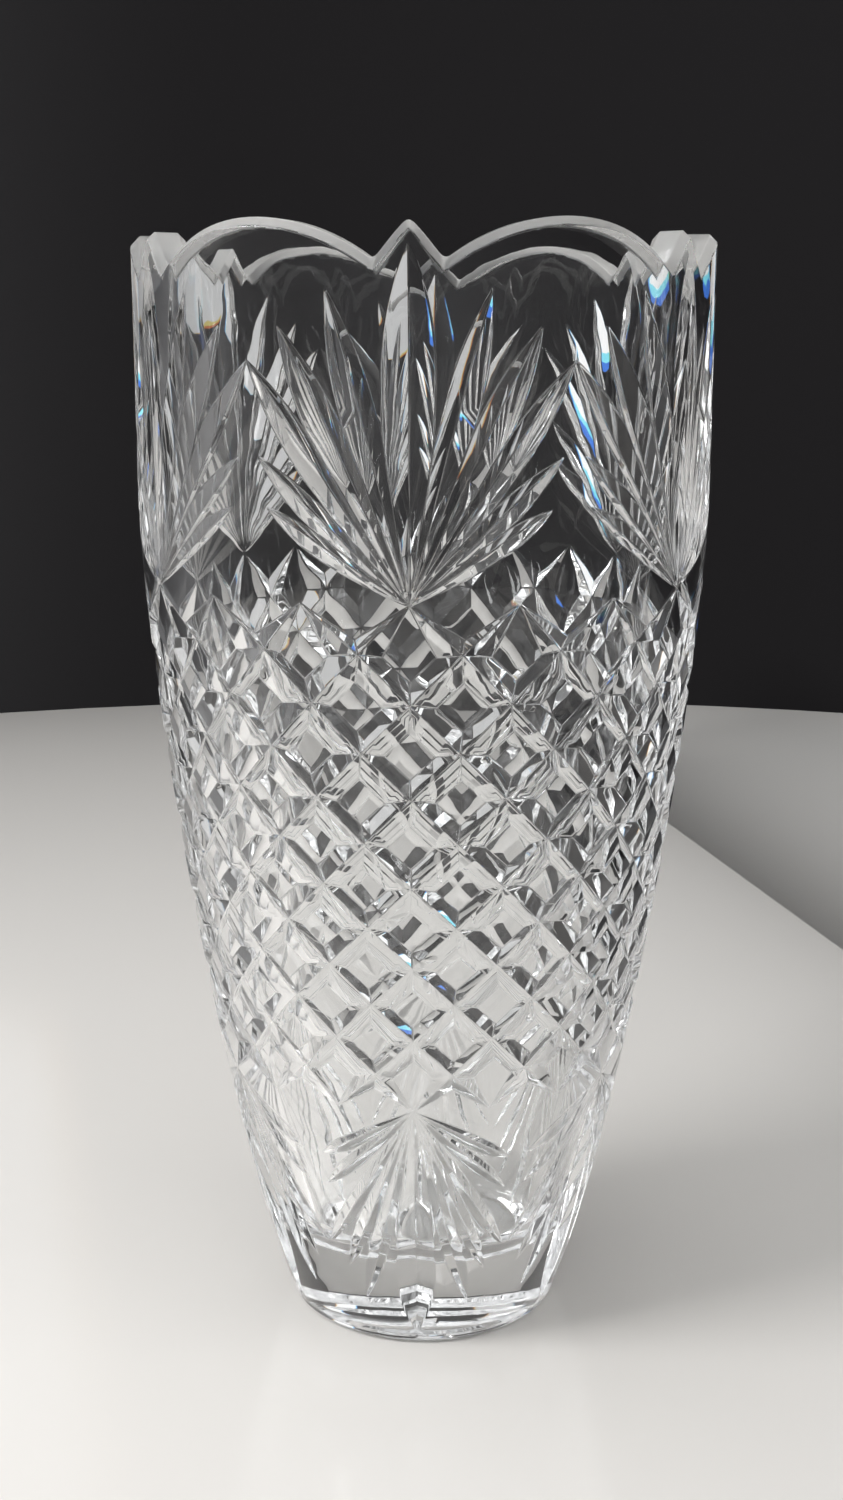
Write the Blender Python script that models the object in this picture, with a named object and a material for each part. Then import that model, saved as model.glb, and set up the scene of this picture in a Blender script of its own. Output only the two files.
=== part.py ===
"""A cut-crystal flower vase: one solid piece of clear glass, 250 mm tall.

The outside is a tapering round body with three bands of V-shaped cuts. A lattice of
flat-topped diamonds runs round the middle. Six fans of tapering rays rise above it and
six smaller fans hang below it, in line with them. The rim is scalloped: six wide arcs
with a small pointed peak over each fan. The inside is a plain tapering cavity over a
thick solid base, and the underside has a flat standing ring round a shallow hollow.

The pattern repeats every 60 degrees and is mirror-symmetric about each fan, so the
script makes one 30 degree slice, from the middle of a fan to the middle of the gap
between two fans, and turns and mirrors it twelve times. The origin is at the centre of
the standing ring, +Z is up and a fan faces -Y.
"""

import math

import bmesh
import bpy
import numpy as np
from mathutils import Vector
from mathutils.geometry import delaunay_2d_cdt

MM = 0.001

# Body outline: a curve from the base to the straight upper wall
HEIGHT = 250.0 * MM
BASE_RADIUS = 31.4 * MM
RIM_RADIUS = 64.1 * MM
STRAIGHT_WALL_START = 195.0 * MM
LOWER_HANDLE = (48.5 * MM, 44.0 * MM)
UPPER_HANDLE_HEIGHT = 156.0 * MM

# Cavity and base
RIM_WALL = 8.4 * MM
BODY_WALL = 11.0 * MM
WALL_SPREAD = (240.0 * MM, 180.0 * MM)  # heights between which the wall grows thicker
FLOOR_HEIGHT = 20.0 * MM
FLOOR_CORNER_RADIUS = 12.0 * MM
BASE_CHAMFER = 1.2 * MM
STANDING_RING_WIDTH = 14.0 * MM
HOLLOW_DEPTH = 1.5 * MM
HOLLOW_EDGE_WIDTH = 1.5 * MM
HOLLOW_RISE = 0.6 * MM

# Scalloped rim
FANS = 6
SLICE = math.pi / FANS
ARC_RADIUS = 46.0 * MM
PEAK_TOP = 250.2 * MM  # where a peak's straight sides would meet
PEAK_SLOPE = 1.22
PEAK_ROUNDING = 1.15 * MM
VALLEY_ROUNDING = 2.2 * MM
INSET_SHARPENING = 0.85  # how much sharper the chamfer's lower line is than the rim
RIM_CHAMFER = 1.7 * MM

# Cuts: every groove is a V whose sides fall by CUT_SLOPE per unit of width
CUT_SLOPE = 0.58
LATTICE_TOP = 176.0 * MM
LATTICE_HALF_ROWS = 12
LATTICE_STEP = math.radians(10.0)
CELL_ASPECT = 0.945
GROOVE_SHARE = 0.26

# Fan rays: angle round the vase (degrees) and height (mm) of the tip, half-width (mm)
TOP_RAYS = (
    (0.0, 245.0, 5.6),
    (14.5, 236.5, 3.6),
    (23.5, 229.6, 3.6),
    (30.0, 223.0, 3.0),
    (27.7, 204.4, 2.4),
    (26.1, 194.5, 2.1),
)
BOTTOM_RAYS = (
    (0.0, 3.9, 4.8),
    (18.6, 13.0, 2.4),
    (23.7, 21.2, 2.2),
    (29.1, 27.2, 2.0),
    (27.0, 43.2, 1.8),
    (26.9, 51.0, 1.8),
)
TOP_WIDEST = 0.64
BOTTOM_WIDEST = 0.70

# Fineness of the surface
SCAN_STEP = 0.3 * MM
CORNER_REACH = 1.0 * MM
FAN_FOOT_REACH = 2.5 * MM
CREASE_TOLERANCE = 0.18 * MM
FILL_SPACING = 12.0 * MM
RIM_BEND = 1.3 * MM
BEND_COLUMNS = 1
PEAK_COLUMNS = 1
ARC_COLUMNS = 4
OUTLINE_POINTS = 400
BISECTIONS = 40
ROW_SHARE = 0.87  # how far apart rows of loose points are, next to points in a row
JOIN_DISTANCE = 1e-3  # in millimetres, like the plan it is used on
SAME_HEIGHT_DIGITS = 6
WELD_DISTANCE = 0.002 * MM
LEAST_DETERMINANT = 1e-12
CAVITY_ROWS = 10
CORNER_STEPS = 4
SHARP_ANGLE = math.radians(18.0)


# Outline of the round body


def bezier(points, count):
    t = np.linspace(0.0, 1.0, count)[:, None]
    a, b, c, d = (np.array(p) for p in points)
    return (1 - t) ** 3 * a + 3 * t * (1 - t) ** 2 * b + 3 * t**2 * (1 - t) * c + t**3 * d


OUTLINE = bezier(
    (
        (BASE_RADIUS, 0.0),
        LOWER_HANDLE,
        (RIM_RADIUS, UPPER_HANDLE_HEIGHT),
        (RIM_RADIUS, STRAIGHT_WALL_START),
    ),
    OUTLINE_POINTS,
)
OUTLINE_SLOPE = np.gradient(OUTLINE[:, 0], OUTLINE[:, 1])
OUTLINE_LENGTH = np.concatenate(([0.0], np.cumsum(np.hypot(*np.diff(OUTLINE, axis=0).T))))


def body_radius(z):
    return np.interp(z, OUTLINE[:, 1], OUTLINE[:, 0])


def body_slope(z):
    """Change of the radius per unit of height."""
    return np.where(z < STRAIGHT_WALL_START, np.interp(z, OUTLINE[:, 1], OUTLINE_SLOPE), 0.0)


def wall_length(z):
    """Length along the outline from the base up to a height."""
    on_curve = np.interp(z, OUTLINE[:, 1], OUTLINE_LENGTH)
    return on_curve + np.maximum(z - STRAIGHT_WALL_START, 0.0)


def cavity_radius(z):
    """Radius of the cavity wall, which stands further in from the body as it goes down."""
    top, bottom = WALL_SPREAD
    share = np.clip((top - z) / (top - bottom), 0.0, 1.0)
    spread = share**2 * (3 - 2 * share)
    return body_radius(z) - RIM_WALL - (BODY_WALL - RIM_WALL) * spread


# Cuts


def lattice_heights():
    """Heights of the lattice's half rows, whose cells keep one shape as the body narrows."""
    heights = [LATTICE_TOP]
    for _ in range(LATTICE_HALF_ROWS):
        z = heights[-1]
        lean = math.hypot(1.0, float(body_slope(z)))
        heights.append(z - CELL_ASPECT * float(body_radius(z)) * LATTICE_STEP / lean)
    return np.array(heights)


ROW_HEIGHTS = lattice_heights()
LATTICE_BOTTOM = float(ROW_HEIGHTS[-1])


def lattice_row(z):
    """Half-row number of a height: 0 at the lattice's top, running on past both ends."""
    rows = np.arange(LATTICE_HALF_ROWS + 1)
    inside = np.interp(z, ROW_HEIGHTS[::-1], rows[::-1])
    above = (LATTICE_TOP - z) / (ROW_HEIGHTS[0] - ROW_HEIGHTS[1])
    below = LATTICE_HALF_ROWS + (LATTICE_BOTTOM - z) / (ROW_HEIGHTS[-2] - ROW_HEIGHTS[-1])
    return np.where(z > LATTICE_TOP, above, np.where(z < LATTICE_BOTTOM, below, inside))


def lattice_cut(angle, z, lean, line):
    """Depth and signed offset of one diagonal groove of the lattice."""
    row = lattice_row(z)
    radius = body_radius(z)
    across = CELL_ASPECT / math.hypot(1.0, CELL_ASPECT)
    offset = (angle - (line + lean * row) * LATTICE_STEP) * radius * across
    half_width = GROOVE_SHARE * across * 2 * LATTICE_STEP * radius
    run_in = np.minimum(np.minimum(row, LATTICE_HALF_ROWS - row), 1.0)
    flat_side = (offset * across) ** 2 / (2 * radius)
    return CUT_SLOPE * (half_width * run_in - np.abs(offset)) - flat_side, offset


def ray_cut(angle, z, start, ray, widest):
    """Depth and signed offset of one spindle-shaped fan ray that starts at a height."""
    tip_angle, tip_height, half_width = math.radians(ray[0]), ray[1] * MM, ray[2] * MM
    radius = body_radius(z)
    east = float(body_radius(tip_height)) * tip_angle
    north = float(wall_length(tip_height) - wall_length(start))
    length = math.hypot(east, north)
    x = radius * angle
    y = wall_length(z) - wall_length(start)
    along = (x * east + y * north) / length**2
    offset = (x * north - y * east) / length
    reach = np.where(along < widest, widest, 1.0 - widest)
    width = half_width * (1.0 - ((along - widest) / reach) ** 2)
    flat_side = (offset * north / length) ** 2 / (2 * radius)
    return CUT_SLOPE * (width - np.abs(offset)) - flat_side, offset


def all_cuts(angle, z):
    """Depths and offsets of every groove that reaches the slice, one layer each."""
    cuts = []
    for ray in TOP_RAYS:
        cuts.append(ray_cut(angle, z, LATTICE_TOP, ray, TOP_WIDEST))
    for ray in BOTTOM_RAYS:
        cuts.append(ray_cut(angle, z, LATTICE_BOTTOM, ray, BOTTOM_WIDEST))
    steps_wide = round(SLICE / LATTICE_STEP)
    for line in range(-LATTICE_HALF_ROWS, steps_wide + 1, 2):
        cuts.append(lattice_cut(angle, z, 1, line))
    for line in range(0, LATTICE_HALF_ROWS + steps_wide + 1, 2):
        cuts.append(lattice_cut(angle, z, -1, line))
    depths, offsets = zip(*cuts)
    return np.array(depths), np.array(offsets)


def cut_surface(angle, z):
    """Points of the cut outside: the body less the deepest groove, square to its wall."""
    depth = np.maximum(all_cuts(angle, z)[0].max(axis=0), 0.0)
    slope = body_slope(z)
    lean = np.hypot(1.0, slope)
    return np.stack([body_radius(z) - depth / lean, angle, z + depth * slope / lean], axis=-1)


# Creases: the lines where one face of the cut surface meets another


def face_labels(depths, offsets):
    """Number of the face at each point: 0 on the body, else one number for each V side."""
    deepest = depths.argmax(axis=0)
    side = np.take_along_axis(offsets, deepest[None], axis=0)[0] >= 0
    cut = np.take_along_axis(depths, deepest[None], axis=0)[0] > 0
    return np.where(cut, 2 * deepest + 1 + side, 0)


def face_difference(first, second, depths, offsets):
    """A value that is zero on the crease between two faces, at each given point."""
    groove, other = (first - 1) // 2, (second - 1) // 2
    if first and second and groove == other:
        return offsets[groove]
    value = depths[groove] if first else 0.0
    return value - (depths[other] if second else 0.0)


def scan_creases(angles, heights):
    """Crease points and the links between them, found on a grid over the slice."""
    grid_angle, grid_z = (g.ravel() for g in np.meshgrid(angles, heights, indexing="ij"))
    depths, offsets = all_cuts(grid_angle, grid_z)
    labels = face_labels(depths, offsets)
    place = np.stack([grid_angle, grid_z], axis=1)
    index = np.arange(len(labels)).reshape(len(angles), len(heights))
    low, right, up, far = index[:-1, :-1], index[1:, :-1], index[:-1, 1:], index[1:, 1:]
    triangles = np.concatenate(
        [
            np.stack([low, right, far], axis=-1).reshape(-1, 3),
            np.stack([low, far, up], axis=-1).reshape(-1, 3),
        ]
    )
    marks = labels[triangles]
    mixed = (marks[:, 0] != marks[:, 1]) | (marks[:, 1] != marks[:, 2])
    points, links, on_edge = [], [], {}

    def crossing(a, b):
        key = (min(a, b), max(a, b))
        if key not in on_edge:
            pair = np.array(key)
            value = face_difference(labels[pair[0]], labels[pair[1]], depths[:, pair], offsets[:, pair])
            span = value[0] - value[1]
            share = min(max(value[0] / span, 0.0), 1.0) if span else 0.5
            on_edge[key] = len(points)
            points.append(place[pair[0]] * (1 - share) + place[pair[1]] * share)
        return on_edge[key]

    for corners in triangles[mixed]:
        pairs = [(corners[i], corners[(i + 1) % 3]) for i in range(3)]
        crossed = [crossing(a, b) for a, b in pairs if labels[a] != labels[b]]
        if len(crossed) == 2:
            links.append(tuple(crossed))
        else:
            hub = len(points)
            points.append(meeting_point(corners, labels, depths, offsets, place))
            links.extend((hub, point) for point in crossed)
    return np.array(points), links


def meeting_point(corners, labels, depths, offsets, place):
    """Where three faces meet inside a grid triangle, or its middle if they don't quite."""
    marks = labels[corners]
    rows = [
        face_difference(marks[0], marks[k], depths[:, corners], offsets[:, corners])
        for k in (1, 2)
    ]
    system = np.array([rows[0], rows[1], np.ones(3)])
    weights = np.full(3, 1.0 / 3.0)
    if abs(np.linalg.det(system)) > LEAST_DETERMINANT:
        solved = np.linalg.solve(system, np.array([0.0, 0.0, 1.0]))
        if solved.min() > 0:
            weights = solved
    return weights @ place[corners]


def corner_points():
    """Known corners of the pattern as angle and height, and how far each one gathers."""
    columns = range(round(SLICE / LATTICE_STEP) + 1)
    corners = [
        (column * LATTICE_STEP, height, CORNER_REACH)
        for row, height in enumerate(ROW_HEIGHTS)
        for column in columns
        if (row + column) % 2 == 0
    ]
    tips = [(math.radians(ray[0]), ray[1] * MM, CORNER_REACH) for ray in TOP_RAYS + BOTTOM_RAYS]
    fan_feet = [(0.0, LATTICE_TOP, FAN_FOOT_REACH), (0.0, LATTICE_BOTTOM, FAN_FOOT_REACH)]
    return corners + tips + fan_feet


def gather_corners(plan, links):
    """Crease points close to a known corner are replaced by that corner."""
    place = np.arange(len(plan))
    extra = []
    for angle, height, reach in corner_points():
        corner = on_plan(np.array([[angle, height]]))[0]
        place[np.hypot(*(plan - corner).T) < reach / MM] = len(plan) + len(extra)
        extra.append(corner)
    joined = {tuple(sorted((place[a], place[b]))) for a, b in links}
    return np.concatenate([plan, extra]), sorted(link for link in joined if link[0] != link[1])


def trace_lines(count, links):
    """Chains of linked points, each running from one end or junction to the next."""
    neighbours = [[] for _ in range(count)]
    for a, b in links:
        neighbours[a].append(b)
        neighbours[b].append(a)
    used = set()
    chains = []
    starts = [p for p in range(count) if len(neighbours[p]) not in (0, 2)]
    for start in starts + list(range(count)):
        for following in neighbours[start]:
            if (start, following) in used:
                continue
            chain = [start]
            here, ahead = start, following
            while True:
                used.update(((here, ahead), (ahead, here)))
                chain.append(ahead)
                if len(neighbours[ahead]) != 2 or ahead == start:
                    break
                step = next(n for n in neighbours[ahead] if n != here)
                here, ahead = ahead, step
            chains.append(chain)
    return chains


def simplify(points, tolerance):
    """Which of a line's points, as few as will do, keep it within a tolerance of them all."""
    last = len(points) - 1
    chord = points[-1] - points[0]
    length = np.linalg.norm(chord)
    away = points - points[0]
    if length > tolerance:
        away = away - np.outer(away @ chord, chord) / length**2
    gaps = np.linalg.norm(away, axis=1)
    worst = int(gaps.argmax())
    if gaps[worst] <= tolerance or worst in (0, last):
        return [0, last]
    further = simplify(points[worst:], tolerance)
    return simplify(points[: worst + 1], tolerance) + [worst + k for k in further[1:]]


def crease_line(plan):
    """The fewest points of a crease that keep its course over the round, cut body."""
    radius, angle, z = cut_surface(*off_plan(plan).T).T
    place = np.stack([radius * np.sin(angle), -radius * np.cos(angle), z], axis=1)
    return plan[simplify(place, CREASE_TOLERANCE)]


# The slice's outer skin


def rim_bluntness(inset):
    """How rounded the rim line is once it is moved inwards: 1 at the rim itself."""
    return 1.0 - INSET_SHARPENING * min(inset / RIM_CHAMFER, 1.0)


def rim_peak(angle, inset):
    """Height of the side of a peak, for the rim line moved inwards by an inset."""
    across = np.hypot(RIM_RADIUS * angle, PEAK_ROUNDING * rim_bluntness(inset))
    return PEAK_TOP - inset * math.hypot(1.0, PEAK_SLOPE) - PEAK_SLOPE * across


def rim_arc(angle, inset):
    """Height of the arc between two peaks, for the rim line moved inwards by an inset."""
    across = RIM_RADIUS * (SLICE - angle)
    return HEIGHT - ARC_RADIUS + np.sqrt((ARC_RADIUS - inset) ** 2 - across**2)


def rim_height(angle, inset):
    """Height of the rim at an angle, for the rim line moved inwards by an inset."""
    arc, peak = rim_arc(angle, inset), rim_peak(angle, inset)
    blend = VALLEY_ROUNDING * rim_bluntness(inset)
    near = np.maximum(blend - np.abs(arc - peak), 0.0) / blend
    return np.maximum(arc, peak) + near**2 * blend / 4


def rim_angles(inset):
    """Angles of the rim's points, with some round the peak's tip and in the valley."""
    low, high = 0.0, SLICE / 2
    for _ in range(BISECTIONS):
        valley = (low + high) / 2
        if rim_arc(valley, inset) > rim_peak(valley, inset):
            high = valley
        else:
            low = valley
    bend = RIM_BEND / RIM_RADIUS
    stops = (
        (0.0, bend, BEND_COLUMNS),
        (bend, valley - bend, PEAK_COLUMNS),
        (valley - bend, valley + bend, 2 * BEND_COLUMNS),
        (valley + bend, SLICE, ARC_COLUMNS),
    )
    runs = [np.linspace(start, end, count, endpoint=False) for start, end, count in stops]
    return np.concatenate([*runs, [SLICE]])


def on_plan(points):
    """Angle and height as a flat plan in millimetres, for the triangulation."""
    middle_radius = (BASE_RADIUS + RIM_RADIUS) / 2
    return np.stack([points[:, 0] * middle_radius, points[:, 1]], axis=1) / MM


def off_plan(plan):
    middle_radius = (BASE_RADIUS + RIM_RADIUS) / 2
    return np.stack([plan[:, 0] / middle_radius, plan[:, 1]], axis=1) * MM


def outer_skin(columns):
    """Triangles of the cut outside between the base chamfer and the rim chamfer."""
    top = np.stack([columns, rim_height(columns, RIM_CHAMFER)], axis=1)
    bottom = np.stack([columns, np.full(len(columns), BASE_CHAMFER)], axis=1)
    angles = np.linspace(0.0, SLICE, round(SLICE * RIM_RADIUS / SCAN_STEP) + 1)
    heights = np.arange(BASE_CHAMFER, HEIGHT - RIM_CHAMFER, SCAN_STEP)
    points, links = scan_creases(angles, heights)
    plan, links = gather_corners(on_plan(points), links)
    lines = [crease_line(plan[chain]) for chain in trace_lines(len(plan), links)]
    low_left, low_right = on_plan(bottom)[[0, -1]]
    top_left, top_right = on_plan(top)[[0, -1]]
    sides = []
    for start, end in ((low_left, top_left), (low_right, top_right)):
        ends = [line[k] for line in lines for k in (0, -1) if abs(line[k][0] - start[0]) < JOIN_DISTANCE]
        fill = np.arange(start[1] + FILL_SPACING / MM, end[1], FILL_SPACING / MM)
        level = np.unique(np.round([p[1] for p in ends] + [start[1], end[1]], SAME_HEIGHT_DIGITS))
        spare = [y for y in fill if np.abs(level - y).min() > FILL_SPACING / MM / 2]
        level = np.sort(np.concatenate([level, spare]))
        sides.append(np.stack([np.full(len(level), start[0]), level], axis=1))
    lines += sides + [on_plan(bottom), on_plan(top)]
    spots, edges = [], []
    for line in lines:
        edges.extend((len(spots) + k, len(spots) + k + 1) for k in range(len(line) - 1))
        spots.extend(line)
    spots = np.array(spots)
    spots = np.concatenate([spots, fill_points(spots, top)])
    vectors = [Vector(p) for p in spots]
    flat, _, faces, *_ = delaunay_2d_cdt(vectors, edges, [], 0, JOIN_DISTANCE, False)
    place = off_plan(np.array([tuple(p) for p in flat]))
    middles = place[np.array(faces)].mean(axis=1)
    below_rim = middles[:, 1] < np.interp(middles[:, 0], *top.T)
    kept = [tuple(face) for face, below in zip(faces, below_rim) if below]
    return cut_surface(place[:, 0], place[:, 1]), kept


def fill_points(spots, top):
    """Loose points that let the skin follow the round body between the creases."""
    spacing = FILL_SPACING / MM
    width = on_plan(np.array([[SLICE, 0.0]]))[0, 0]
    filled = []
    for row, y in enumerate(np.arange(BASE_CHAMFER / MM + spacing, HEIGHT / MM, spacing * ROW_SHARE)):
        for x in np.arange(spacing / (1 + row % 2), width, spacing):
            spot = np.array([x, y])
            angle = off_plan(spot[None])[0, 0]
            below_rim = y < np.interp(angle, *top.T) / MM - spacing / 2
            clear = np.hypot(*(spots - spot).T).min() > spacing / 2
            if below_rim and clear and x < width - spacing / 2:
                filled.append(spot)
    return np.array(filled).reshape(-1, 2)


# The slice's plain surfaces


def cavity_outline():
    """Radius and height down the cavity wall, round its corner and in to the axis."""
    corner = FLOOR_CORNER_RADIUS
    join = FLOOR_HEIGHT + corner
    for _ in range(BISECTIONS):
        lean = math.atan(float(body_slope(join)))
        join = FLOOR_HEIGHT + corner * (1.0 - math.sin(lean))
    centre = float(cavity_radius(join)) - corner * math.cos(lean)
    valley = float(rim_height(rim_angles(RIM_CHAMFER), RIM_CHAMFER).min())
    heights = np.linspace(valley, join, CAVITY_ROWS + 1)[1:-1]
    wall = [(float(cavity_radius(z)), z) for z in heights]
    turns = np.linspace(lean, math.pi / 2, CORNER_STEPS + 1)
    bend = [
        (centre + corner * math.cos(t), FLOOR_HEIGHT + corner * (1.0 - math.sin(t)))
        for t in turns
    ]
    return wall + bend


def underside_outline():
    """Radius and height from the base chamfer in under the base."""
    chamfer = (float(body_radius(BASE_CHAMFER)), BASE_CHAMFER)
    ring_outer = (BASE_RADIUS - BASE_CHAMFER, 0.0)
    ring_inner = (BASE_RADIUS - BASE_CHAMFER - STANDING_RING_WIDTH, 0.0)
    hollow = (ring_inner[0] - HOLLOW_EDGE_WIDTH, HOLLOW_DEPTH - HOLLOW_RISE)
    return [chamfer, ring_outer, ring_inner, hollow]


def level_rows(outline, columns):
    """One row of points, all at one height, for each radius and height of an outline."""
    level = np.ones(len(columns))
    return [np.stack([radius * level, columns, z * level], axis=-1) for radius, z in outline]


def plain_skin(columns):
    """The rim, cavity and underside as rows of points, and the quads between rows."""
    rows = []
    for inset, depth in (
        (RIM_CHAMFER, 0.0),
        (0.0, RIM_CHAMFER),
        (0.0, RIM_WALL - RIM_CHAMFER),
        (RIM_CHAMFER, RIM_WALL),
    ):
        angles = rim_angles(inset)
        z = rim_height(angles, inset)
        rows.append(np.stack([RIM_RADIUS - depth + 0 * z, angles, z], axis=-1))
    rows += level_rows(cavity_outline(), columns)
    cavity_floor = (0.0, 0.0, FLOOR_HEIGHT)
    under = level_rows(underside_outline(), columns)
    hollow_middle = (0.0, 0.0, HOLLOW_DEPTH)
    points, faces = [], []
    for block, middle in ((rows, cavity_floor), (under, hollow_middle)):
        outward = block is rows
        width = len(block[0])
        start = len(points)
        points.extend(p for row in block for p in row)
        points.append(middle)
        for r in range(len(block) - 1):
            for c in range(width - 1):
                low = start + r * width + c
                quad = (low, low + 1, low + 1 + width, low + width)
                faces.append(quad if outward else quad[::-1])
        last = start + (len(block) - 1) * width
        for c in range(width - 1):
            corner = (last + c, last + c + 1, len(points) - 1)
            faces.append(corner if outward else corner[::-1])
    return np.array(points), faces


# Assembly


def round_vase(points, faces):
    """The whole vase: the slice turned and mirrored round the axis, with its seams joined."""
    mesh = bmesh.new()
    radius, angle, z = points.T
    for fan in range(FANS):
        for hand in (1, -1):
            turn = hand * angle + 2 * SLICE * fan
            ring = [
                mesh.verts.new((r * math.sin(t), -r * math.cos(t), h))
                for r, t, h in zip(radius, turn, z)
            ]
            for face in faces:
                mesh.faces.new([ring[k] for k in (face if hand > 0 else face[::-1])])
    bmesh.ops.remove_doubles(mesh, verts=mesh.verts, dist=WELD_DISTANCE)
    bmesh.ops.dissolve_degenerate(mesh, edges=mesh.edges, dist=WELD_DISTANCE)
    bmesh.ops.triangulate(mesh, faces=mesh.faces)
    return mesh


def glass_material():
    material = bpy.data.materials.new("clear_lead_crystal")
    material.use_nodes = True
    shader = material.node_tree.nodes["Principled BSDF"]
    shader.inputs["Base Color"].default_value = (0.97, 0.98, 0.98, 1.0)
    shader.inputs["Roughness"].default_value = 0.02
    shader.inputs["Metallic"].default_value = 0.0
    shader.inputs["IOR"].default_value = 1.545
    shader.inputs["Transmission Weight"].default_value = 1.0
    return material


def make_vase_body():
    columns = rim_angles(RIM_CHAMFER)
    skin_points, skin_faces = outer_skin(columns)
    plain_points, plain_faces = plain_skin(columns)
    shift = len(skin_points)
    points = np.concatenate([skin_points, plain_points])
    faces = skin_faces + [tuple(k + shift for k in face) for face in plain_faces]
    solid = round_vase(points, faces)
    mesh = bpy.data.meshes.new("vase_body")
    solid.to_mesh(mesh)
    solid.free()
    mesh.shade_smooth()
    mesh.set_sharp_from_angle(angle=SHARP_ANGLE)
    mesh.materials.append(glass_material())
    vase = bpy.data.objects.new("vase_body", mesh)
    bpy.context.scene.collection.objects.link(vase)


for item in list(bpy.data.objects):
    bpy.data.objects.remove(item, do_unlink=True)
make_vase_body()
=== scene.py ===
"""Cut-crystal vase in clear glass, on a pale floor in soft studio light.

One twelfth of the vase is worked out as a slice: V-shaped grooves are laid over the round
body, the creases between them are traced, and the surface is triangulated between the
creases. The slice is then mirrored and turned round the axis. Angles run round the vase
from the middle of a fan, and lengths are in metres unless a name says otherwise.
"""

import math

import bmesh
import bpy
import numpy as np
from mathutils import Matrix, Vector
from mathutils.geometry import delaunay_2d_cdt


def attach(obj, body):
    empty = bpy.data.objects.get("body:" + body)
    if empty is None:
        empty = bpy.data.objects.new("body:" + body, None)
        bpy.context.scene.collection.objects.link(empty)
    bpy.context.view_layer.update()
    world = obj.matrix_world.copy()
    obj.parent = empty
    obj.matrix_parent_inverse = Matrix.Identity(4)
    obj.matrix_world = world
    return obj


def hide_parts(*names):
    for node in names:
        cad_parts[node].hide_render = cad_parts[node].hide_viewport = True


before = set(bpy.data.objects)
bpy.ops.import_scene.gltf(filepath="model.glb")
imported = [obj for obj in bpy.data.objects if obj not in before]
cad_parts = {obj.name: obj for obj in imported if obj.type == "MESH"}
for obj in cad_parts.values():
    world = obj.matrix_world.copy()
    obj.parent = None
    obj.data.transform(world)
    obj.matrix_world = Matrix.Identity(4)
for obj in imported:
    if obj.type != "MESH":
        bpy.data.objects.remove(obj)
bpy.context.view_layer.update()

MM = 0.001

# Body outline: a curve from the base to the straight upper wall
HEIGHT = 250.0 * MM
BASE_RADIUS = 31.4 * MM
RIM_RADIUS = 64.1 * MM
MIDDLE_RADIUS = (BASE_RADIUS + RIM_RADIUS) / 2
STRAIGHT_WALL_START = 195.0 * MM
LOWER_HANDLE = (48.5 * MM, 44.0 * MM)
UPPER_HANDLE_HEIGHT = 156.0 * MM

# Cavity and base
RIM_WALL = 8.4 * MM
BODY_WALL = 11.0 * MM
WALL_SPREAD = (240.0 * MM, 180.0 * MM)  # heights between which the wall grows thicker
FLOOR_HEIGHT = 20.0 * MM
FLOOR_CORNER_RADIUS = 12.0 * MM
BASE_CHAMFER = 1.2 * MM
STANDING_RING_WIDTH = 14.0 * MM
HOLLOW_DEPTH = 1.5 * MM
HOLLOW_EDGE_WIDTH = 1.5 * MM
HOLLOW_RISE = 0.6 * MM

# Scalloped rim
FANS = 6
SLICE = math.pi / FANS
ARC_RADIUS = 46.0 * MM
PEAK_TOP = 250.2 * MM  # where a peak's straight sides would meet
PEAK_SLOPE = 1.22
PEAK_ROUNDING = 1.15 * MM
VALLEY_ROUNDING = 2.2 * MM
INSET_SHARPENING = 0.85  # how much sharper the chamfer's lower line is than the rim
RIM_CHAMFER = 1.7 * MM

# Cuts: every groove is a V whose sides fall by CUT_SLOPE per unit of width
CUT_SLOPE = 0.58
LATTICE_TOP = 176.0 * MM
LATTICE_HALF_ROWS = 12
LATTICE_STEP = math.radians(10.0)
CELL_ASPECT = 0.945
GROOVE_SHARE = 0.26

# Fan rays: angle round the vase (degrees) and height (mm) of the tip, half-width (mm)
TOP_RAYS = (
    (0.0, 245.0, 5.6),
    (14.5, 236.5, 3.6),
    (23.5, 229.6, 3.6),
    (30.0, 223.0, 3.0),
    (27.7, 204.4, 2.4),
    (26.1, 194.5, 2.1),
)
BOTTOM_RAYS = (
    (0.0, 3.9, 4.8),
    (18.6, 13.0, 2.4),
    (23.7, 21.2, 2.2),
    (29.1, 27.2, 2.0),
    (27.0, 43.2, 1.8),
    (26.9, 51.0, 1.8),
)
TOP_WIDEST = 0.64
BOTTOM_WIDEST = 0.70
TOP_HOLLOW = 0.14  # how hollow the wheel's round rim grinds a ray's sides
BOTTOM_HOLLOW = 0.03

# Kinds of surface
SKIN, GROUND, CAVITY, UNDERSIDE = range(4)

# Fineness of the surface
SCAN_STEP = 0.15 * MM
CORNER_REACH = 0.5 * MM
FAN_FOOT_REACH = 1.2 * MM
CREASE_TOLERANCE = 0.03 * MM
FILL_SPACING = 3.0 * MM
RIM_BEND = 1.3 * MM
BEND_COLUMNS = 3
PEAK_COLUMNS = 3
ARC_COLUMNS = 12
OUTLINE_POINTS = 400
BISECTIONS = 40
CREASE_SOFTNESS = 0.26 * MM  # half the width over which a crease is polished round
EDGE_SOFTNESS = 0.3 * MM
NORMAL_REACH = 0.6  # share of a crease's softness over which normals are averaged
NORMAL_STEP = 0.01 * MM
NORMAL_SPOKES = 8
LEAST_TURN = 0.5  # keeps the lines beside a sharp turn from running far out
ROW_SHARE = 0.87  # how far apart rows of loose points are, next to points in a row
JOIN_DISTANCE = 1e-3  # in millimetres, like the plan it is used on
SAME_HEIGHT_DIGITS = 6
WELD_DISTANCE = 0.002 * MM
LEAST_DETERMINANT = 1e-12
CAVITY_ROWS = 44
CORNER_STEPS = 12
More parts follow.
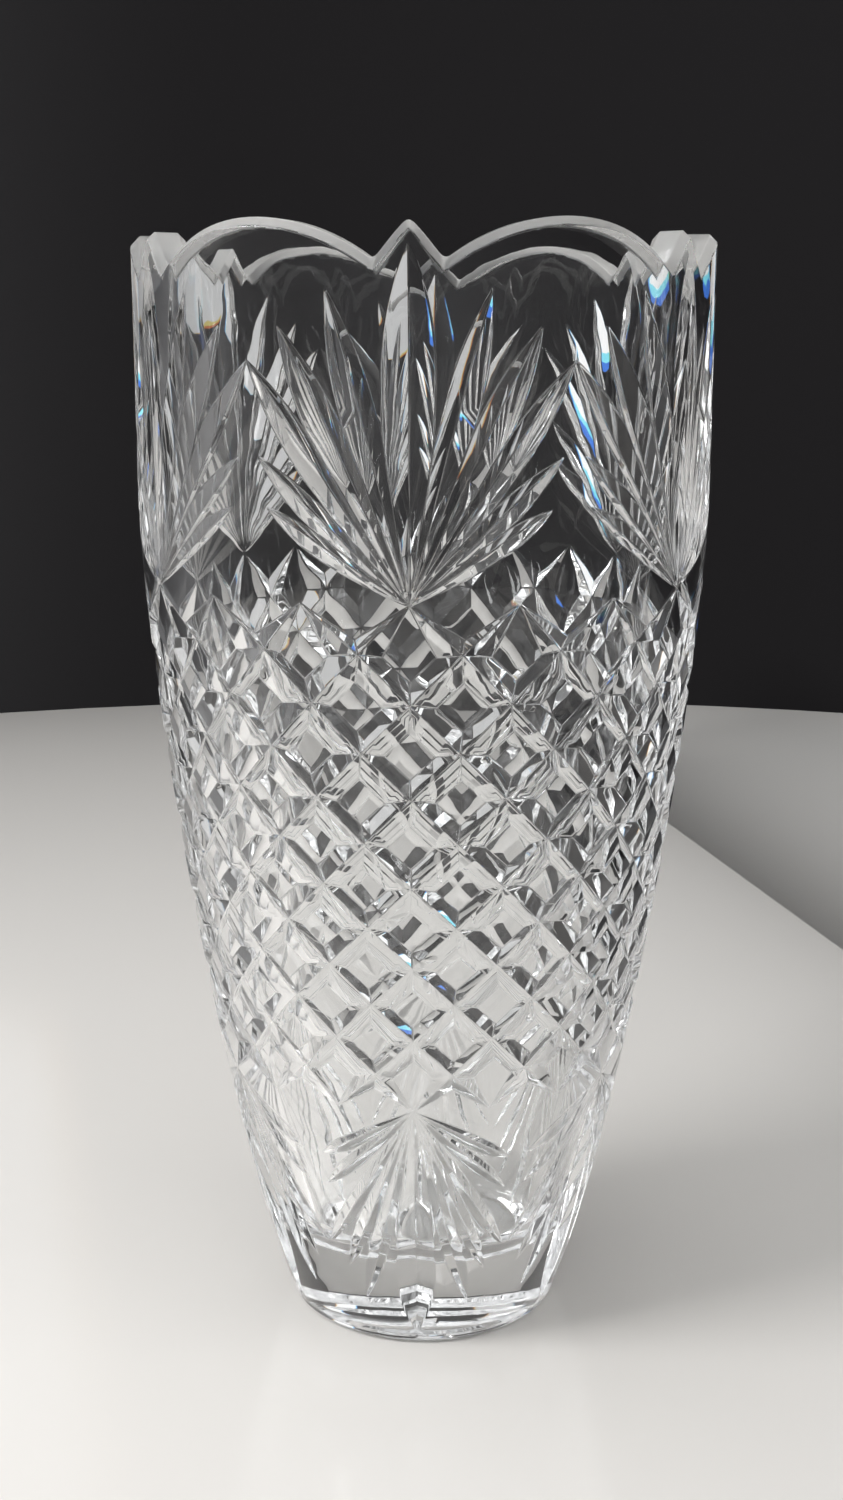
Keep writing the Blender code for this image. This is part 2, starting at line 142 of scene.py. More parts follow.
POLISHED_RIM_ROWS = 2  # the last rows of the rim already lie on the polished cavity wall


# Outline of the round body


def bezier(points, count):
    t = np.linspace(0.0, 1.0, count)[:, None]
    a, b, c, d = (np.array(p) for p in points)
    return (1 - t) ** 3 * a + 3 * t * (1 - t) ** 2 * b + 3 * t**2 * (1 - t) * c + t**3 * d


OUTLINE = bezier(
    (
        (BASE_RADIUS, 0.0),
        LOWER_HANDLE,
        (RIM_RADIUS, UPPER_HANDLE_HEIGHT),
        (RIM_RADIUS, STRAIGHT_WALL_START),
    ),
    OUTLINE_POINTS,
)
OUTLINE_SLOPE = np.gradient(OUTLINE[:, 0], OUTLINE[:, 1])
OUTLINE_LENGTH = np.concatenate(([0.0], np.cumsum(np.hypot(*np.diff(OUTLINE, axis=0).T))))


def body_radius(z):
    return np.interp(z, OUTLINE[:, 1], OUTLINE[:, 0])


def body_slope(z):
    """Change of the radius per unit of height."""
    return np.where(z < STRAIGHT_WALL_START, np.interp(z, OUTLINE[:, 1], OUTLINE_SLOPE), 0.0)


def wall_length(z):
    """Length along the outline from the base up to a height."""
    on_curve = np.interp(z, OUTLINE[:, 1], OUTLINE_LENGTH)
    return on_curve + np.maximum(z - STRAIGHT_WALL_START, 0.0)


def cavity_radius(z):
    """Radius of the cavity wall, which stands further in from the body as it goes down."""
    top, bottom = WALL_SPREAD
    share = np.clip((top - z) / (top - bottom), 0.0, 1.0)
    spread = share**2 * (3 - 2 * share)
    return body_radius(z) - RIM_WALL - (BODY_WALL - RIM_WALL) * spread


# Cuts


def lattice_heights():
    """Heights of the lattice's half rows, whose cells keep one shape as the body narrows."""
    heights = [LATTICE_TOP]
    for _ in range(LATTICE_HALF_ROWS):
        z = heights[-1]
        lean = math.hypot(1.0, float(body_slope(z)))
        heights.append(z - CELL_ASPECT * float(body_radius(z)) * LATTICE_STEP / lean)
    return np.array(heights)


ROW_HEIGHTS = lattice_heights()
LATTICE_BOTTOM = float(ROW_HEIGHTS[-1])


def lattice_row(z):
    """Half-row number of a height: 0 at the lattice's top, running on past both ends."""
    rows = np.arange(LATTICE_HALF_ROWS + 1)
    inside = np.interp(z, ROW_HEIGHTS[::-1], rows[::-1])
    above = (LATTICE_TOP - z) / (ROW_HEIGHTS[0] - ROW_HEIGHTS[1])
    below = LATTICE_HALF_ROWS + (LATTICE_BOTTOM - z) / (ROW_HEIGHTS[-2] - ROW_HEIGHTS[-1])
    return np.where(z > LATTICE_TOP, above, np.where(z < LATTICE_BOTTOM, below, inside))


def lattice_cut(angle, z, lean, line):
    """Depth and signed offset of one diagonal groove of the lattice."""
    row = lattice_row(z)
    radius = body_radius(z)
    across = CELL_ASPECT / math.hypot(1.0, CELL_ASPECT)
    offset = (angle - (line + lean * row) * LATTICE_STEP) * radius * across
    half_width = GROOVE_SHARE * across * 2 * LATTICE_STEP * radius
    run_in = np.minimum(np.minimum(row, LATTICE_HALF_ROWS - row), 1.0)
    flat_side = (offset * across) ** 2 / (2 * radius)
    return CUT_SLOPE * (half_width * run_in - np.abs(offset)) - flat_side, offset


def ray_cut(angle, z, start, ray, widest, hollow):
    """Depth and signed offset of one spindle-shaped fan ray that starts at a height."""
    tip_angle, tip_height, half_width = math.radians(ray[0]), ray[1] * MM, ray[2] * MM
    radius = body_radius(z)
    east = float(body_radius(tip_height)) * tip_angle
    north = float(wall_length(tip_height) - wall_length(start))
    length = math.hypot(east, north)
    x = radius * angle
    y = wall_length(z) - wall_length(start)
    along = (x * east + y * north) / length**2
    offset = (x * north - y * east) / length
    reach = np.where(along < widest, widest, 1.0 - widest)
    width = half_width * (1.0 - ((along - widest) / reach) ** 2)
    flat_side = (offset * north / length) ** 2 / (2 * radius)
    share = np.clip(np.abs(offset) / np.maximum(width, WELD_DISTANCE), 0.0, 1.0)
    straight = CUT_SLOPE * (width - np.abs(offset))
    return straight * (1.0 + hollow * share) - flat_side, offset


def all_cuts(angle, z):
    """Depths and offsets of every groove that reaches the slice, one layer each."""
    cuts = []
    for ray in TOP_RAYS:
        cuts.append(ray_cut(angle, z, LATTICE_TOP, ray, TOP_WIDEST, TOP_HOLLOW))
    for ray in BOTTOM_RAYS:
        cuts.append(ray_cut(angle, z, LATTICE_BOTTOM, ray, BOTTOM_WIDEST, BOTTOM_HOLLOW))
    steps_wide = round(SLICE / LATTICE_STEP)
    for line in range(-LATTICE_HALF_ROWS, steps_wide + 1, 2):
        cuts.append(lattice_cut(angle, z, 1, line))
    for line in range(0, LATTICE_HALF_ROWS + steps_wide + 1, 2):
        cuts.append(lattice_cut(angle, z, -1, line))
    depths, offsets = zip(*cuts)
    return np.array(depths), np.array(offsets)


def cut_surface(angle, z):
    """Points of the cut outside: the body less the deepest groove, square to its wall."""
    depth = np.maximum(all_cuts(angle, z)[0].max(axis=0), 0.0)
    slope = body_slope(z)
    lean = np.hypot(1.0, slope)
    return np.stack([body_radius(z) - depth / lean, angle, z + depth * slope / lean], axis=-1)


# Creases: the lines where one face of the cut surface meets another


def face_labels(depths, offsets):
    """Number of the face at each point: 0 on the body, else one number for each V side."""
    deepest = depths.argmax(axis=0)
    side = np.take_along_axis(offsets, deepest[None], axis=0)[0] >= 0
    cut = np.take_along_axis(depths, deepest[None], axis=0)[0] > 0
    return np.where(cut, 2 * deepest + 1 + side, 0)


def face_difference(first, second, depths, offsets):
    """A value that is zero on the crease between two faces, at each given point."""
    groove, other = (first - 1) // 2, (second - 1) // 2
    if first and second and groove == other:
        return offsets[groove]
    value = depths[groove] if first else 0.0
    return value - (depths[other] if second else 0.0)


def scan_creases(angles, heights):
    """Crease points and the links between them, found on a grid over the slice."""
    grid_angle, grid_z = (g.ravel() for g in np.meshgrid(angles, heights, indexing="ij"))
    depths, offsets = all_cuts(grid_angle, grid_z)
    labels = face_labels(depths, offsets)
    place = np.stack([grid_angle, grid_z], axis=1)
    index = np.arange(len(labels)).reshape(len(angles), len(heights))
    low, right, up, far = index[:-1, :-1], index[1:, :-1], index[:-1, 1:], index[1:, 1:]
    triangles = np.concatenate(
        [
            np.stack([low, right, far], axis=-1).reshape(-1, 3),
            np.stack([low, far, up], axis=-1).reshape(-1, 3),
        ]
    )
    marks = labels[triangles]
    mixed = (marks[:, 0] != marks[:, 1]) | (marks[:, 1] != marks[:, 2])
    points, links, on_edge = [], [], {}

    def crossing(a, b):
        key = (min(a, b), max(a, b))
        if key not in on_edge:
            pair = np.array(key)
            first, second = labels[pair]
            value = face_difference(first, second, depths[:, pair], offsets[:, pair])
            span = value[0] - value[1]
            share = min(max(value[0] / span, 0.0), 1.0) if span else 0.5
            on_edge[key] = len(points)
            points.append(place[pair[0]] * (1 - share) + place[pair[1]] * share)
        return on_edge[key]

    for corners in triangles[mixed]:
        pairs = [(corners[i], corners[(i + 1) % 3]) for i in range(3)]
        crossed = [crossing(a, b) for a, b in pairs if labels[a] != labels[b]]
        if len(crossed) == 2:
            links.append(tuple(crossed))
        else:
            hub = len(points)
            points.append(meeting_point(corners, labels, depths, offsets, place))
            links.extend((hub, point) for point in crossed)
    return np.array(points), links


def meeting_point(corners, labels, depths, offsets, place):
    """Where three faces meet inside a grid triangle, or its middle if they don't quite."""
    marks = labels[corners]
    rows = [
        face_difference(marks[0], marks[k], depths[:, corners], offsets[:, corners])
        for k in (1, 2)
    ]
    system = np.array([rows[0], rows[1], np.ones(3)])
    weights = np.full(3, 1.0 / 3.0)
    if abs(np.linalg.det(system)) > LEAST_DETERMINANT:
        solved = np.linalg.solve(system, np.array([0.0, 0.0, 1.0]))
        if solved.min() > 0:
            weights = solved
    return weights @ place[corners]


def corner_points():
    """Known corners of the pattern as angle and height, and how far each one gathers."""
    columns = range(round(SLICE / LATTICE_STEP) + 1)
    corners = [
        (column * LATTICE_STEP, height, CORNER_REACH)
        for row, height in enumerate(ROW_HEIGHTS)
        for column in columns
        if (row + column) % 2 == 0
    ]
    tips = [(math.radians(ray[0]), ray[1] * MM, CORNER_REACH) for ray in TOP_RAYS + BOTTOM_RAYS]
    fan_feet = [(0.0, LATTICE_TOP, FAN_FOOT_REACH), (0.0, LATTICE_BOTTOM, FAN_FOOT_REACH)]
    return corners + tips + fan_feet


def gather_corners(plan, links):
    """Crease points close to a known corner are replaced by that corner."""
    place = np.arange(len(plan))
    extra = []
    for angle, height, reach in corner_points():
        corner = on_plan(np.array([[angle, height]]))[0]
        place[np.hypot(*(plan - corner).T) < reach / MM] = len(plan) + len(extra)
        extra.append(corner)
    joined = {tuple(sorted((place[a], place[b]))) for a, b in links}
    return np.concatenate([plan, extra]), sorted(link for link in joined if link[0] != link[1])


def trace_lines(count, links):
    """Chains of linked points, each running from one end or junction to the next."""
    neighbours = [[] for _ in range(count)]
    for a, b in links:
        neighbours[a].append(b)
        neighbours[b].append(a)
    used = set()
    chains = []
    starts = [p for p in range(count) if len(neighbours[p]) not in (0, 2)]
    for start in starts + list(range(count)):
        for following in neighbours[start]:
            if (start, following) in used:
                continue
            chain = [start]
            here, ahead = start, following
            while True:
                used.update(((here, ahead), (ahead, here)))
                chain.append(ahead)
                if len(neighbours[ahead]) != 2 or ahead == start:
                    break
                step = next(n for n in neighbours[ahead] if n != here)
                here, ahead = ahead, step
            chains.append(chain)
    return chains


def simplify(points, tolerance):
    """Which of a line's points, as few as will do, keep it within a tolerance of them all."""
    last = len(points) - 1
    chord = points[-1] - points[0]
    length = np.linalg.norm(chord)
    away = points - points[0]
    if length > tolerance:
        away = away - np.outer(away @ chord, chord) / length**2
    gaps = np.linalg.norm(away, axis=1)
    worst = int(gaps.argmax())
    if gaps[worst] <= tolerance or worst in (0, last):
        return [0, last]
    further = simplify(points[worst:], tolerance)
    return simplify(points[: worst + 1], tolerance) + [worst + k for k in further[1:]]


def crease_line(plan):
    """The fewest points of a crease that keep its course over the round, cut body."""
    radius, angle, z = cut_surface(*off_plan(plan).T).T
    place = np.stack([radius * np.sin(angle), -radius * np.cos(angle), z], axis=1)
    return plan[simplify(place, CREASE_TOLERANCE)]


# The slice's outer skin


def rim_bluntness(inset):
    """How rounded the rim line is once it is moved inwards: 1 at the rim itself."""
    return 1.0 - INSET_SHARPENING * min(inset / RIM_CHAMFER, 1.0)


def rim_peak(angle, inset):
    """Height of the side of a peak, for the rim line moved inwards by an inset."""
    across = np.hypot(RIM_RADIUS * angle, PEAK_ROUNDING * rim_bluntness(inset))
    return PEAK_TOP - inset * math.hypot(1.0, PEAK_SLOPE) - PEAK_SLOPE * across


def rim_arc(angle, inset):
    """Height of the arc between two peaks, for the rim line moved inwards by an inset."""
    across = RIM_RADIUS * (SLICE - angle)
    return HEIGHT - ARC_RADIUS + np.sqrt((ARC_RADIUS - inset) ** 2 - across**2)


def rim_height(angle, inset):
    """Height of the rim at an angle, for the rim line moved inwards by an inset."""
    arc, peak = rim_arc(angle, inset), rim_peak(angle, inset)
    blend = VALLEY_ROUNDING * rim_bluntness(inset)
    near = np.maximum(blend - np.abs(arc - peak), 0.0) / blend
    return np.maximum(arc, peak) + near**2 * blend / 4


def rim_angles(inset):
    """Angles of the rim's points, with some round the peak's tip and in the valley."""
    low, high = 0.0, SLICE / 2
    for _ in range(BISECTIONS):
        valley = (low + high) / 2
        if rim_arc(valley, inset) > rim_peak(valley, inset):
            high = valley
        else:
            low = valley
    bend = RIM_BEND / RIM_RADIUS
    stops = (
        (0.0, bend, BEND_COLUMNS),
        (bend, valley - bend, PEAK_COLUMNS),
        (valley - bend, valley + bend, 2 * BEND_COLUMNS),
        (valley + bend, SLICE, ARC_COLUMNS),
    )
    runs = [np.linspace(start, end, count, endpoint=False) for start, end, count in stops]
    return np.concatenate([*runs, [SLICE]])


def on_plan(points):
    """Angle and height as a flat plan in millimetres, for the triangulation."""
    return np.stack([points[:, 0] * MIDDLE_RADIUS, points[:, 1]], axis=1) / MM


def off_plan(plan):
    return np.stack([plan[:, 0] / MIDDLE_RADIUS, plan[:, 1]], axis=1) * MM


def outer_skin(columns):
    """Triangles of the cut outside between the base chamfer and the rim chamfer."""
    top = np.stack([columns, rim_height(columns, RIM_CHAMFER)], axis=1)
    bottom = np.stack([columns, np.full(len(columns), BASE_CHAMFER)], axis=1)
    lines = crease_lines()
    lines += [side for line in lines for side in beside(line)]
    lines += [seam_line(angle) for angle in (0.0, SLICE)]
    for edge in (top, bottom):
        lines.append(on_plan(np.stack([columns, edge_line(edge is top, columns)], axis=1)))
    low, high = on_plan(bottom), on_plan(top)
    lines += [slice_side(low[k], high[k], lines) for k in (0, -1)] + [low, high]
    spots, edges = [], []
    for line in lines:
        edges.extend((len(spots) + k, len(spots) + k + 1) for k in range(len(line) - 1))
        spots.extend(line)
    spots = np.array(spots)
    spots = np.concatenate([spots, fill_points(spots, top)])
    vectors = [Vector(p) for p in spots]
    flat, _, faces, *_ = delaunay_2d_cdt(vectors, edges, [], 0, JOIN_DISTANCE, False)
    flat, faces = np.array([tuple(p) for p in flat]), np.array(faces)
    place = off_plan(flat)
    middles = place[faces].mean(axis=1)
    wanted = middles[:, 1] < np.interp(middles[:, 0], *top.T)
    for side in (low[0, 0], low[-1, 0]):
        wanted &= (np.abs(flat[faces, 0] - side) >= JOIN_DISTANCE).any(axis=1)
    return cut_surface(place[:, 0], place[:, 1]), [tuple(face) for face in faces[wanted].tolist()]


def crease_lines():
    """Every crease of the slice as a line on the plan."""
    angles = np.linspace(0.0, SLICE, round(SLICE * RIM_RADIUS / SCAN_STEP) + 1)
    heights = np.arange(BASE_CHAMFER, HEIGHT - RIM_CHAMFER, SCAN_STEP)
    points, links = scan_creases(angles, heights)
    plan, links = gather_corners(on_plan(points), links)
    return [crease_line(plan[chain]) for chain in trace_lines(len(plan), links)]


def slice_side(start, end, lines):
    """A side of the slice, with a point wherever a line ends on it and others between."""
    spacing = FILL_SPACING / MM
    ends = [line[k] for line in lines for k in (0, -1)]
    met = [p[1] for p in ends if abs(p[0] - start[0]) < JOIN_DISTANCE]
    level = np.unique(np.round(met + [start[1], end[1]], SAME_HEIGHT_DIGITS))
    fill = np.arange(start[1] + spacing, end[1], spacing)
    spare = [y for y in fill if np.abs(level - y).min() > spacing / 2]
    level = np.sort(np.concatenate([level, spare]))
    return np.stack([np.full(len(level), start[0]), level], axis=1)


def edge_line(at_rim, columns):
    """Heights of a line just inside the skin's top or bottom edge."""
    if at_rim:
        return rim_height(columns, RIM_CHAMFER + EDGE_SOFTNESS)
    return np.full(len(columns), BASE_CHAMFER + EDGE_SOFTNESS)


def seam_line(angle):
    """A line just inside the slice along one of its two sides, from edge to edge."""
    top, bottom = (float(edge_line(at_rim, np.array([angle]))[0]) for at_rim in (True, False))
    heights = np.linspace(bottom, top, round((top - bottom) / FILL_SPACING))
    inwards = 1.0 if angle == 0.0 else -1.0
    angles = angle + inwards * CREASE_SOFTNESS / body_radius(heights)
    return on_plan(np.stack([angles, heights], axis=1))


def beside(line):
    """The two lines that run along a crease, a little to each side, within the slice."""
    fresh = np.hypot(*np.diff(line, axis=0).T) > JOIN_DISTANCE
    line = line[np.concatenate([[True], fresh])]
    if len(line) < 2:
        return []
    place = off_plan(line)
    stretch = body_radius(place[:, 1]) / MIDDLE_RADIUS
    true = np.stack([line[:, 0] * stretch, line[:, 1]], axis=1)
    steps = np.diff(true, axis=0)
    steps /= np.hypot(*steps.T)[:, None]
    along = np.concatenate([steps[:1], steps[:-1] + steps[1:], steps[-1:]])
    along /= np.maximum(np.hypot(*along.T), LEAST_TURN)[:, None]
    aside = np.stack([-along[:, 1], along[:, 0]], axis=1) * CREASE_SOFTNESS / MM
    width = SLICE * MIDDLE_RADIUS / MM
    found = []
    for hand in (1, -1):
        moved = true + hand * aside
        moved[:, 0] /= stretch
        found.extend(within(moved, width))
    return found


def within(line, width):
    """The runs of a line that lie between the slice's two sides, cut off at the sides."""
    runs, run = [], []
    for start, end in zip(line, line[1:]):
        share = [0.0, 1.0]
        for side in (0.0, width):
            span = end[0] - start[0]
            if (start[0] - side) * (end[0] - side) < 0:
                share.append((side - start[0]) / span)
        share.sort()
        for a, b in zip(share, share[1:]):
            middle = start + (end - start) * (a + b) / 2
            if 0.0 <= middle[0] <= width:
                if not run:
                    run = [start + (end - start) * a]
                run.append(start + (end - start) * b)
            elif run:
                runs.append(run)
                run = []
    if run:
        runs.append(run)
    return [np.array(r) for r in runs]


def fill_points(spots, top):
    """Loose points that let the skin follow the uncut round body between the creases."""
    spacing = FILL_SPACING / MM
    width = on_plan(np.array([[SLICE, 0.0]]))[0, 0]
    rows = np.arange(BASE_CHAMFER / MM + spacing, HEIGHT / MM, spacing * ROW_SHARE)
    filled = []
    for row, y in enumerate(rows):
        for x in np.arange(spacing / (1 + row % 2), width, spacing):
            spot = np.array([x, y])
            angle = off_plan(spot[None])[0, 0]
            below_rim = y < np.interp(angle, *top.T) / MM - spacing / 2
            clear = np.hypot(*(spots - spot).T).min() > spacing / 2
            uncut = all_cuts(np.array([angle]), np.array([y * MM]))[0].max() < 0.0
            if uncut and below_rim and clear and x < width - spacing / 2:
                filled.append(spot)
    return np.array(filled).reshape(-1, 2)


def fold(angle):
    """An angle just outside the slice, mirrored back into it."""
    return SLICE - np.abs(SLICE - np.abs(angle))


def skin_normals(points):
    """Radial, sideways and upward parts of the skin's normals, averaged over each crease."""
    angle, z = points[:, 1], points[:, 2]
    total = np.zeros((len(points), 3))
    for turn in np.arange(NORMAL_SPOKES) * 2 * math.pi / NORMAL_SPOKES:
        reach = NORMAL_REACH * CREASE_SOFTNESS
        around = angle + reach * math.cos(turn) / body_radius(z)
        height = z + reach * math.sin(turn)
        here = in_space(around, height)
        east = in_space(around + NORMAL_STEP / RIM_RADIUS, height) - here
        north = in_space(around, height + NORMAL_STEP) - here
        normal = np.cross(east, north)
        normal /= np.linalg.norm(normal, axis=1)[:, None]
        radial = np.stack([np.sin(angle), -np.cos(angle), 0 * angle], axis=1)
        sideways = np.stack([np.cos(angle), np.sin(angle), 0 * angle], axis=1)
        total[:, 0] += (normal * radial).sum(axis=1)
        total[:, 1] += (normal * sideways).sum(axis=1)
        total[:, 2] += normal[:, 2]
    return total / np.linalg.norm(total, axis=1)[:, None]


def in_space(angle, z):
    """Where a point of the cut skin is, for angles in the slice or just outside it."""
    radius, _, height = cut_surface(fold(angle), z).T
    return np.stack([radius * np.sin(angle), -radius * np.cos(angle), height], axis=1)


# The slice's plain surfaces


def cavity_outline():
    """Radius and height down the cavity wall, round its corner and in to the axis."""
    corner = FLOOR_CORNER_RADIUS
    join = FLOOR_HEIGHT + corner
    for _ in range(BISECTIONS):
        lean = math.atan(float(body_slope(join)))
        join = FLOOR_HEIGHT + corner * (1.0 - math.sin(lean))
    centre = float(cavity_radius(join)) - corner * math.cos(lean)
    valley = float(rim_height(rim_angles(RIM_CHAMFER), RIM_CHAMFER).min())
    heights = np.linspace(valley, join, CAVITY_ROWS + 1)[1:-1]
    wall = [(float(cavity_radius(z)), z) for z in heights]
    turns = np.linspace(lean, math.pi / 2, CORNER_STEPS + 1)
    bend = [
        (centre + corner * math.cos(t), FLOOR_HEIGHT + corner * (1.0 - math.sin(t)))
        for t in turns
    ]
    return wall + bend


def underside_outline():
    """Radius and height from the base chamfer in under the base."""
    chamfer = (float(body_radius(BASE_CHAMFER)), BASE_CHAMFER)
    ring_outer = (BASE_RADIUS - BASE_CHAMFER, 0.0)
    ring_inner = (BASE_RADIUS - BASE_CHAMFER - STANDING_RING_WIDTH, 0.0)
    hollow = (ring_inner[0] - HOLLOW_EDGE_WIDTH, HOLLOW_DEPTH - HOLLOW_RISE)
    return [chamfer, ring_outer, ring_inner, hollow]


def softened(outline):
    """An outline with a point added close to each corner on both sides of it."""
    points = [outline[0]]
    for start, end in zip(outline, outline[1:]):
        share = EDGE_SOFTNESS / math.dist(start, end)
        for part in (share, 1.0 - share):
            points.append(tuple(a + (b - a) * part for a, b in zip(start, end)))
        points.append(end)
    return points


def outline_facing(outline):
    """The direction, as radius and height, that the cavity wall faces at each point."""
    along = np.gradient(np.array(outline), axis=0)
    along /= np.hypot(*along.T)[:, None]
    return [(up, -out) for out, up in along]


def level_rows(outline, columns):
    """One row of points, all at one height, for each radius and height of an outline."""
    level = np.ones(len(columns))
    return [np.stack([radius * level, columns, z * level], axis=-1) for radius, z in outline]


def plain_skin(columns):
    """The rim, cavity and underside as rows of points, and the quads between rows."""
    rows = []
    section = [
        (RIM_CHAMFER, 0.0),
        (0.0, RIM_CHAMFER),
        (0.0, RIM_WALL - RIM_CHAMFER),
        (RIM_CHAMFER, RIM_WALL),
        (RIM_CHAMFER + 2 * EDGE_SOFTNESS, RIM_WALL),
    ]
    for inset, depth in softened(section):
        angles = rim_angles(inset)
        z = rim_height(angles, inset)
        rows.append(np.stack([RIM_RADIUS - depth + 0 * z, angles, z], axis=-1))
    cavity_rows = level_rows(cavity_outline(), columns)
    rows += cavity_rows
    cavity_floor = (0.0, 0.0, FLOOR_HEIGHT)
    under = level_rows(softened(underside_outline()), columns)
    hollow_middle = (0.0, 0.0, HOLLOW_DEPTH)
    points, faces = [], []
    rim_rows = len(rows) - len(cavity_rows)
    for block, middle in ((rows, cavity_floor), (under, hollow_middle)):
        outward = block is rows
        width = len(block[0])
        start = len(points)
        points.extend(p for row in block for p in row)
        points.append(middle)
        for r in range(len(block) - 1):
            for c in range(width - 1):
                low = start + r * width + c
                quad = (low, low + 1, low + 1 + width, low + width)
                faces.append(quad if outward else quad[::-1])
        last = start + (len(block) - 1) * width
        for c in range(width - 1):
            corner = (last + c, last + c + 1, len(points) - 1)
            faces.append(corner if outward else corner[::-1])
    polished_rows = len(cavity_rows) + POLISHED_RIM_ROWS
    kinds = [GROUND] * ((rim_rows - POLISHED_RIM_ROWS) * len(columns))
    kinds += [CAVITY] * (polished_rows * len(columns) + 1)
    kinds += [UNDERSIDE] * (len(under) * len(columns) + 1)
    facing = [(-1.0, 0.0)] * rim_rows + outline_facing(cavity_outline())
    normals = [(out, 0.0, up) for out, up in facing for _ in columns] + [(0.0, 0.0, 1.0)]
    normals += [(0.0, 0.0, -1.0)] * (len(points) - len(normals))
    return np.array(points), faces, kinds, np.array(normals)


# Assembly


def round_vase(points, faces, normals, kinds):
    """The whole vase: the slice turned and mirrored round the axis, with its seams joined."""
    mesh = bmesh.new()
    kind_layer = mesh.verts.layers.int.new("kind")
    normal_layer = mesh.verts.layers.float_vector.new("skin_normal")
    radius, angle, z = points.T
    for fan in range(FANS):
        for hand in (1, -1):
            turn = hand * angle + 2 * SLICE * fan
            ring = [
                mesh.verts.new((r * math.sin(t), -r * math.cos(t), h))
                for r, t, h in zip(radius, turn, z)
            ]
            for vertex, t, kind, (out, side, up) in zip(ring, turn, kinds, normals):
                side *= hand
                vertex[kind_layer] = kind
                vertex[normal_layer] = (
                    out * math.sin(t) + side * math.cos(t),
                    side * math.sin(t) - out * math.cos(t),
                    up,
                )
            for face in faces:
                mesh.faces.new([ring[k] for k in (face if hand > 0 else face[::-1])])
    bmesh.ops.remove_doubles(mesh, verts=mesh.verts, dist=WELD_DISTANCE)
    bmesh.ops.dissolve_degenerate(mesh, edges=mesh.edges, dist=WELD_DISTANCE)
    bmesh.ops.triangulate(mesh, faces=mesh.faces)
    return mesh


# The cavity wall's unevenness

CAVITY_WAVES = (
    # turns round the vase, waves per metre of height, phase, size
    (4, 9.0, 0.4, 0.060 * MM),
    (-6, 14.0, 2.1, 0.045 * MM),
    (9, -21.0, 4.0, 0.026 * MM),
    (-13, 38.0, 1.2, 0.014 * MM),
    (21, 90.0, 3.1, 0.006 * MM),
)
CALM_BELOW_RIM = 10.0 * MM
CALM_NEAR_AXIS = 20.0 * MM
LEAST_RADIUS = 0.001 * MM


def uneven(angle, z):
    """How far the moulded cavity wall wanders in or out, and its slopes round and up."""
    wander, slope_round, slope_up = 0.0, 0.0, 0.0
    for turns, waves, phase, size in CAVITY_WAVES:
        rise = 2 * math.pi * waves
        swing = turns * angle + rise * z + phase
        wander = wander + size * np.sin(swing)
        slope_round = slope_round + size * turns * np.cos(swing)
        slope_up = slope_up + size * rise * np.cos(swing)
    return np.array([wander, slope_round, slope_up])


def fold_round(angle):
    """Any angle round the vase, folded into the one slice that the pattern repeats."""
    turn = np.mod(np.abs(angle), 2 * SLICE)
    return np.minimum(turn, 2 * SLICE - turn)


def read_vectors(source, name, count):
    """One row of three numbers for each vertex."""
    values = np.zeros(count * 3)
    source.foreach_get(name, values)
    return values.reshape(-1, 3)


def finish_surface(mesh):
    """Gives the cavity its unevenness, the skin its polished creases and the rim its grind."""
    count = len(mesh.vertices)
    place = read_vectors(mesh.vertices, "co", count)
    kinds = np.zeros(count, dtype=np.int32)
    mesh.attributes["kind"].data.foreach_get("value", kinds)
    inside = kinds == CAVITY
    radius = np.hypot(place[:, 0], place[:, 1])
    angle = np.arctan2(place[:, 0], -place[:, 1])
    turn = fold_round(angle)
    depth = rim_height(turn, RIM_CHAMFER) - place[:, 2]
    calm = np.clip(depth / CALM_BELOW_RIM, 0.0, 1.0) * np.clip(radius / CALM_NEAR_AXIS, 0.0, 1.0)
    wander, slope_round, slope_up = uneven(angle, place[:, 2]) * calm
    outwards = place[:, :2] / np.maximum(radius, LEAST_RADIUS)[:, None]
    place[inside, :2] += (outwards * wander[:, None])[inside]
    mesh.vertices.foreach_set("co", place.ravel())
    mesh.update()
    mesh.shade_smooth()
    normals = read_vectors(mesh.vertex_normals, "vector", count)
    exact = read_vectors(mesh.attributes["skin_normal"].data, "vector", count)
    steepness = -(exact[:, :2] * outwards).sum(axis=1)
    tilt_round = slope_round / np.maximum(radius, LEAST_RADIUS) * steepness
    waved = exact.copy()
    waved[:, 0] -= tilt_round * outwards[:, 1]
    waved[:, 1] += tilt_round * outwards[:, 0]
    waved[:, 2] += slope_up * steepness
    normals[inside] = waved[inside]
    low = place[:, 2] < BASE_CHAMFER + EDGE_SOFTNESS / 2
    rim_line = rim_height(turn, RIM_CHAMFER + EDGE_SOFTNESS / 2)
    skin = (kinds == SKIN) & ~low & (place[:, 2] < rim_line)
    normals[skin] = exact[skin]
    mesh.normals_split_custom_set_from_vertices(normals.tolist())
    ground = mesh.attributes.new("ground", "FLOAT", "POINT")
    ground.data.foreach_set("value", np.where(kinds == GROUND, 1.0, 0.0))
    mesh.attributes.remove(mesh.attributes["skin_normal"])


# Glass

GLASS_COLOUR = (0.985, 0.99, 0.99, 1.0)
GLASS_IOR = 1.545
SMUDGE_SCALE = 45.0
SMUDGE_DETAIL = 4.0
SMUDGE_RANGE = (0.45, 0.8)  # the noise between clean glass and the strongest smudge
SMUDGE_ROUGHNESS = 0.05
GROUND_ROUGHNESS = 0.38
RIPPLE_SCALE = 120.0
RIPPLE_DETAIL = 1.0
RIPPLE_STRENGTH = 0.25
RIPPLE_HEIGHT = 0.2 * MM


